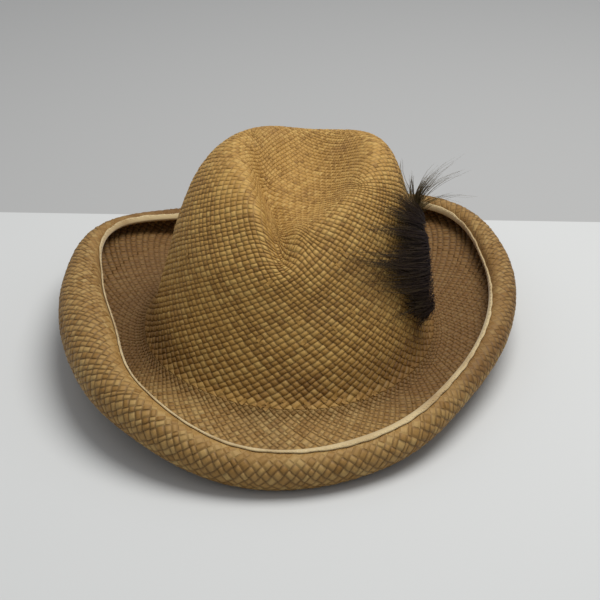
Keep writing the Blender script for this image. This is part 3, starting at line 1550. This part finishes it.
@dataclass
class Plume:
    """A side plume: a short quill up the crown with locks of fine barbs that fan out from it."""

    form: StrawForm
    clearance: float = 1.0
    quill_height: float = 8.0
    points_in_barb: int = 8
    barb_thick: float = 0.3
    frizz: float = 2.2
    frizz_size: float = 6.0
    tufts_in_lock: int = 4
    # How much farther than the shortest a barb may reach, and how much the tufts differ in reach
    reach_spread: float = 0.42
    tuft_reach: float = 0.18
    # Spread across the lock, in shares of its width, of the barbs and of the tufts' tips, and how
    # much of the first the lock gathers up again by its end
    scatter: float = 0.4
    gathering: float = 0.8
    # How far the barbs bow along the crown and arch off it, and their spread in degrees at the root
    bow: float = 3.0
    arch: float = 3.0
    root_spread: float = 0.9
    # How much browner some barbs are, and all of them at their tips
    tint_spread: float = 0.3
    tip_tint: float = 0.35
    # Thickness of the thinnest barb in shares of barb_thick, its spread, and what the tip loses
    thinnest: float = 0.7
    thick_spread: float = 0.6
    taper: float = 0.85
    # How much of the solid quill's width and depth shows between the barbs
    quill_width: float = 0.75
    quill_depth: float = 0.85
    # Widest and deepest place of the matted roots, in shares of the lock's width
    heart_width: float = 0.62
    heart_depth: float = 0.4
    # The matted roots fill this share of each lock's length, in so many rings of so many sides
    heart_share: float = 0.45
    heart_rings: int = 5
    heart_sides: int = 8

    def barbs(self, lock: Lock, habit: Habit, rng: np.random.Generator) -> np.ndarray:
        """Lay the barbs of one lock.

        Args:
            lock: the lock's start, sweep and size.
            habit: how its barbs lie.
            rng: the source of the barbs' differences.

        Returns:
            Points, by barb and by place along it.
        """
        count = round(habit.barbs * min(lock.proud / habit.full_proud, 1))
        tuft = np.arange(count) % self.tufts_in_lock

        def spread(size: float) -> np.ndarray:
            """One random value for each barb."""
            return rng.normal(0, size, (count, 1))

        def shared(size: float) -> np.ndarray:
            """One random value for each tuft, given to its barbs."""
            return rng.normal(0, size, self.tufts_in_lock)[tuft][:, None]

        reach = habit.shortest + self.reach_spread * rng.random((count, 1))
        reach = reach * (1 + shared(self.tuft_reach))
        if habit.strays:
            reach = np.where(rng.random((count, 1)) < habit.strays, reach * 1.5, reach)
        t = np.linspace(0, 1, self.points_in_barb)[None, :] * reach
        climb = t * (1 + habit.spring - habit.spring * t)
        fan = (habit.fan_at_root + habit.fan_growth * t) * (1 - self.gathering * t)
        rise = lock.start + (lock.end - lock.start) * climb + spread(self.scatter) * lock.width * fan
        rise = rise + shared(self.scatter) * lock.width * t + spread(self.bow) * (t - t * t)
        direction = lock.origin + lock.sweep * t + spread(self.root_spread)
        direction = direction + (spread(habit.slip) + shared(2 * habit.slip)) * t
        root = self.quill_height * habit.root_height * rng.random((count, 1))
        tip = lock.proud * (habit.tip_least + habit.tip_spread * rng.random((count, 1)))
        height = self.clearance + root + (tip - root) * t * t + self.arch * t * (1 - t)
        return self.form.over_crown(direction, rise, np.maximum(height, self.clearance))[0]

    def build(self, fibre: Material) -> None:
        """Build the barbs, and the quill with its dense heart."""
        rng = np.random.default_rng(SEED + 3)
        strands, tints, thick = [], [], []
        for locks, habit in ((LOCKS, FULL_HABIT), (WISPS, WISP_HABIT)):
            for lock in locks:
                strands.append(self.barbs(lock, habit, rng))
                count = len(strands[-1])
                tints.append(habit.tint + self.tint_spread * rng.random(count) ** 4)
                thick.append(self.thinnest + self.thick_spread * rng.random(count))
        points = np.concatenate(strands)
        count, length = points.shape[:2]
        index = np.arange(count * length).reshape(count, length)
        edges = np.stack([index[:, :-1].ravel(), index[:, 1:].ravel()], axis=1)
        mesh = new_mesh("plume_barbs", points, edges.tolist(), [])
        part = np.linspace(0, 1, length)[None, :]
        tint = np.concatenate(tints)[:, None] + self.tip_tint * part**3
        taper = np.concatenate(thick)[:, None] * (1 - self.taper * part**1.5)
        add_attribute(mesh, "tint", "FLOAT", "POINT", np.clip(tint, 0, 1))
        add_attribute(mesh, "taper", "FLOAT", "POINT", taper)
        add_attribute(mesh, "free", "FLOAT", "POINT", np.tile(part**2, (count, 1)))
        barbs = new_object("plume_barbs", mesh)
        self.run_barb_tree(barbs, fibre)
        finish_piece(barbs, ("plume",))
        self.add_heart(rng, fibre)

    def run_barb_tree(self, piece: Object, fibre: Material) -> None:
        """Give each barb its tapering body and its frizz."""
        sizes = {
            "Barb thickness": self.barb_thick * METRES,
            "Frizz": self.frizz * METRES,
            "Frizz size": self.frizz_size * METRES,
            "Seed": SEED,
        }
        tree, start = new_tree("plume barbs", sizes)
        free = {0: named_attribute(tree, "free", "FLOAT"), 1: start.outputs["Frizz"]}
        amount = add_node(tree, "ShaderNodeMath", free, MULTIPLY)
        offset = add_drift(tree, start, "Frizz size", amount, 1.0)
        shift = {"Geometry": start.outputs["Geometry"], "Offset": offset}
        frizzed = add_node(tree, "GeometryNodeSetPosition", shift)
        lines = add_node(tree, "GeometryNodeMeshToCurve", {"Mesh": frizzed})
        taper = {0: named_attribute(tree, "taper", "FLOAT"), 1: 0.5}
        scale = add_node(tree, "ShaderNodeMath", taper, MULTIPLY)
        ring = {"Resolution": 3, "Radius": start.outputs["Barb thickness"]}
        circle = add_node(tree, "GeometryNodeCurvePrimitiveCircle", ring)
        skin = {"Curve": lines, "Profile Curve": circle, "Scale": scale, "Fill Caps": True}
        body = add_node(tree, "GeometryNodeCurveToMesh", skin)
        run_tree(piece, tree, sizes, body, fibre)

    def add_heart(self, rng: np.random.Generator, fibre: Material) -> None:
        """Add the quill and the matted roots of the locks, which close the plume's middle."""
        columns = ("direction", "rise", "width", "depth")
        direction, rise, width, depth = (
            np.array([getattr(row, column) for row in QUILL], float) for column in columns
        )
        middle, normal = self.form.over_crown(direction, rise, self.form.gap + depth / 2)
        tubes = [self.tube(middle, normal, width * self.quill_width, depth * self.quill_depth)]
        part = np.linspace(0, self.heart_share, self.heart_rings)
        # The roots swell from the quill and are at their fullest a fifth of the way along
        full = np.sin(math.pi * (0.3 + part))
        for lock in LOCKS:
            depth = lock.width * self.heart_depth * full
            height = self.clearance + depth / 2 + lock.proud * part * part
            rise = lock.start + (lock.end - lock.start) * part
            middle, normal = self.form.over_crown(lock.origin + lock.sweep * part, rise, height)
            tubes.append(self.tube(middle, normal, lock.width * self.heart_width * full, depth))
        faces: list[list[int]] = []
        base = 0
        for rings in tubes:
            faces.extend(self.tube_faces(len(rings), base))
            base += len(rings) * self.heart_sides
        mesh = new_mesh("plume_quill", np.concatenate(tubes), [], faces)
        add_attribute(mesh, "tint", "FLOAT", "POINT", rng.random(base) * 0.06)
        mesh.materials.append(fibre)
        finish_piece(new_object("plume_quill", mesh), ())

    def tube(
        self, middle: np.ndarray, normal: np.ndarray, width: np.ndarray, depth: np.ndarray
    ) -> np.ndarray:
        """Points of a tube of flattened rings along a line."""
        along = unit(np.gradient(middle, axis=0))
        across = unit(np.cross(normal, along))
        off = np.cross(along, across)
        turn = np.linspace(0, FULL_TURN, self.heart_sides, endpoint=False)[None, :, None]
        sideways = across[:, None] * (np.cos(turn) * width[:, None, None] / 2)
        return middle[:, None] + sideways + off[:, None] * (np.sin(turn) * depth[:, None, None] / 2)

    def tube_faces(self, rings: int, base: int) -> list[list[int]]:
        """Faces of a closed tube whose points are numbered from a base on."""
        sides = self.heart_sides
        last = base + (rings - 1) * sides
        faces = []
        for low in range(base, last, sides):
            high = low + sides
            for j in range(sides):
                k = (j + 1) % sides
                faces.append([low + j, low + k, high + k, high + j])
        return [*faces, list(reversed(range(base, base + sides))), list(range(last, last + sides))]


# Loose ends of broken strips


@dataclass
class LooseEnds:
    """Short broken ends of strips that stick up from the plait, most of them along the foot."""

    form: StrawForm
    # How many ends stick up along the foot and on the crown, and between which directions in
    # degrees and stations of the crown each kind lies
    foot_ends: int = 24
    foot_arc: tuple[float, float] = (195, 340)
    foot_stations: tuple[float, float] = (0.002, 0.037)
    crown_ends: int = 34
    crown_arc: tuple[float, float] = (150, 340)
    crown_stations: tuple[float, float] = (0.15, 0.6)
    length: float = 3.6
    width: float = 1.6
    thick: float = 0.2
    lift: float = 1.1
    # How far the middle of an end lies off the crown's face
    clearance: float = 0.25
    # Size of the smallest end in shares of the full one, and the spread of sizes
    smallest: float = 0.45
    size_spread: float = 0.75

    def build(self, finish: Material) -> None:
        """Scatter the ends and lay each along a strip."""
        rng = np.random.default_rng(SEED + 4)
        angles, stations = [], []
        for count, arc, reach in (
            (self.foot_ends, self.foot_arc, self.foot_stations),
            (self.crown_ends, self.crown_arc, self.crown_stations),
        ):
            angles.append(np.radians(rng.uniform(*arc, count)))
            stations.append(rng.uniform(*reach, count))
        angle, station = np.concatenate(angles), np.concatenate(stations)
        normal = self.form.crown_normal(angle, station)
        point = self.form.crown(angle, station) + normal * (self.form.wall / 2 + self.clearance)
        level = unit(np.cross(np.array([0, 0, 1.0]), normal))
        slant = np.radians(rng.choice([-1, 1], len(angle)) * (35 + 20 * rng.random(len(angle))))
        along = level * np.cos(slant)[:, None] + np.cross(normal, level) * np.sin(slant)[:, None]
        piece = point_cloud("loose_straw_ends", point, eulers(along, normal))
        shares = self.smallest + self.size_spread * rng.random(len(angle))
        add_attribute(piece.data, "size", "FLOAT", "POINT", shares)
        sizes = {
            "End length": self.length * METRES,
            "End width": self.width * METRES,
            "End thickness": self.thick * METRES,
            "Lift": self.lift * METRES,
        }
        tree, start = new_tree("loose straw ends", sizes)
        length, width, thick, lift = (start.outputs[label] for label in sizes)
        size = add_node(tree, "ShaderNodeCombineXYZ", {"X": length, "Y": width, "Z": thick})
        strip = add_node(tree, "GeometryNodeMeshCube", {"Size": size, "Vertices X": 7, "Vertices Y": 3})
        position = add_node(tree, "GeometryNodeInputPosition")
        split = add_node(tree, "ShaderNodeSeparateXYZ", {0: position})
        share = add_node(tree, "ShaderNodeMath", {0: split.outputs["X"], 1: length}, DIVIDE)
        square = add_node(tree, "ShaderNodeMath", {0: share, 1: share}, MULTIPLY)
        bend = add_node(tree, "ShaderNodeMath", {0: square, 1: lift}, MULTIPLY)
        rise = add_node(tree, "ShaderNodeCombineXYZ", {"Z": bend})
        bent = add_node(tree, "GeometryNodeSetPosition", {"Geometry": strip, "Offset": rise})
        laid = instances(tree, start, bent, named_attribute(tree, "size", "FLOAT"))
        run_tree(piece, tree, sizes, laid, finish)
        self.dress(piece.data, rng)
        finish_piece(piece, (), smooth=False)

    @staticmethod
    def dress(mesh: Mesh, rng: np.random.Generator) -> None:
        """Give the ends the plait's own map and tones, so that they take its finish."""
        loops = len(mesh.loops)
        points = np.zeros(len(mesh.vertices) * 3, np.float32)
        mesh.vertices.foreach_get("co", points)
        corner = np.zeros(loops, np.int32)
        mesh.loops.foreach_get("vertex_index", corner)
        place = points.reshape(-1, 3)[corner] / METRES
        # All ends lie in the middle of one strip, away from its shadow lines, and their streaks differ
        across = 0.3 + 0.1 * np.sin(place[:, 0])
        along = 0.5 + 0.05 * place[:, 2] % 0.3
        add_uv(mesh, "plait", np.stack([across, along], axis=1))
        shade = np.tile([0.5, 0.5, 0.1, 1.0], (loops, 1))
        shade[:, 0] = 0.2 + 0.6 * rng.random(loops)
        add_attribute(mesh, "strip", "FLOAT_COLOR", "CORNER", shade)


# Studio


@dataclass(frozen=True)
class Lamp:
    """One soft area light, in metres and watts."""

    name: str
    place: tuple[float, float, float]
    aim: tuple[float, float, float]
    size: float
    power: float
    colour: str


@dataclass
class Studio:
    """The paper, the light and the camera."""

    azimuth: float = 8.2
    elevation: float = 27.0
    roll: float = 0.3
    distance: float = 0.807
    target: tuple[float, float, float] = (0.00485, -0.00672, 0.0457)
    lens_mm: float = 84.0
    sensor_mm: float = 36.0
    # Where the optical axis falls in the photograph, as shares of its side
    shift: tuple[float, float] = (0.0158, -0.0453)
    # Where the pale paper ends behind the hat and the greyer one begins
    seam_left: tuple[float, float] = (-0.24, 0.142)
    seam_right: tuple[float, float] = (0.24, 0.198)
    floor_size: float = 6.0
    air_colour: str = "#F7F8FB"
    air_strength: float = 0.44
    lamp: Lamp = Lamp("top_light", (0.3, 0.14, 1.2), (0.0, 0.0, 0.05), 0.9, 14.5, "#FFFDFA")

    def build(self) -> None:
        """Set up the paper, the light and the camera."""
        self.build_paper()
        self.build_lamp()
        self.build_world()
        self.build_camera()

    def build_paper(self) -> None:
        """Lay two sheets of paper on the floor; both lie flat, so that the back stays in view."""
        left, right = Vector((*self.seam_left, 0)), Vector((*self.seam_right, 0))
        along = (right - left).normalized()
        middle = (left + right) / 2
        half = along * self.floor_size / 2
        front = Vector((along.y, -along.x, 0)) * self.floor_size
        start, end = middle - half, middle + half
        for name, corners, colour in (
            ("studio_floor", (start + front, end + front, end, start), "#C7C9C9"),
            ("studio_backdrop", (start, end, end - front, start - front), "#A9AAAA"),
        ):
            mesh = bpy.data.meshes.new(name)
            mesh.from_pydata([tuple(corner) for corner in corners], [], [(0, 1, 2, 3)])
            mesh.materials.append(StudioPaper(name + "_paper", colour).material())
            new_object(name, mesh)

    def build_lamp(self) -> None:
        """Hang the area light."""
        lamp = self.lamp
        data = bpy.data.lights.new(lamp.name, "AREA")
        data.shape = "DISK"
        data.size = lamp.size
        data.energy = lamp.power
        data.color = linear(lamp.colour)[:3]
        light = new_object(lamp.name, data)
        light.location = lamp.place
        aim = Vector(lamp.aim) - Vector(lamp.place)
        light.rotation_euler = aim.to_track_quat("-Z", "Y").to_euler()

    def build_world(self) -> None:
        """Fill the room with even pale light."""
        world = bpy.data.worlds.new("studio_air")
        world.use_nodes = True
        back = world.node_tree.nodes["Background"]
        back.inputs["Color"].default_value = linear(self.air_colour)
        back.inputs["Strength"].default_value = self.air_strength
        scene = bpy.context.scene
        scene.world = world
        scene.view_settings.view_transform = "Standard"

    def build_camera(self) -> None:
        """Stand the camera at the photograph's place and angle."""
        data = bpy.data.cameras.new("camera")
        data.lens = self.lens_mm
        data.sensor_width = self.sensor_mm
        data.shift_x, data.shift_y = self.shift
        camera = new_object("camera", data)
        a, e, roll = (math.radians(x) for x in (self.azimuth, self.elevation, self.roll))
        ahead = Vector((-math.sin(a) * math.cos(e), math.cos(a) * math.cos(e), -math.sin(e)))
        level = Vector((math.cos(a), math.sin(a), 0))
        up = level.cross(ahead)
        right = level * math.cos(roll) + up * math.sin(roll)
        turned = Matrix((right, (-ahead).cross(right), -ahead)).transposed()
        camera.location = Vector(self.target) - ahead * self.distance
        camera.rotation_euler = turned.to_euler()
        bpy.context.scene.camera = camera


def main() -> None:
    """Build the hat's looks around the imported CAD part."""
    logging.basicConfig(level=logging.INFO, format="%(message)s")
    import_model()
    form = StrawForm()
    straw = PalmStraw("palm_straw_crown").material()
    brim_straw = PalmStraw("palm_straw_brim", pale="#B0925A", mid="#9B7842", stain="#77603A", line=0.52)
    cloth = CottonTape("cotton_tape").material()
    thread = CottonTape("cotton_thread", cloth="#D9C9A4").material()
    CrownPlait(form).build(straw)
    BrimPlait(form).build(brim_straw.material())
    EdgeBinding(form).build(cloth, thread)
    Plume(form).build(BarbFibre("barb_fibre").material())
    LooseEnds(form).build(straw)
    Studio().build()


if __name__ == "__main__":
    main()
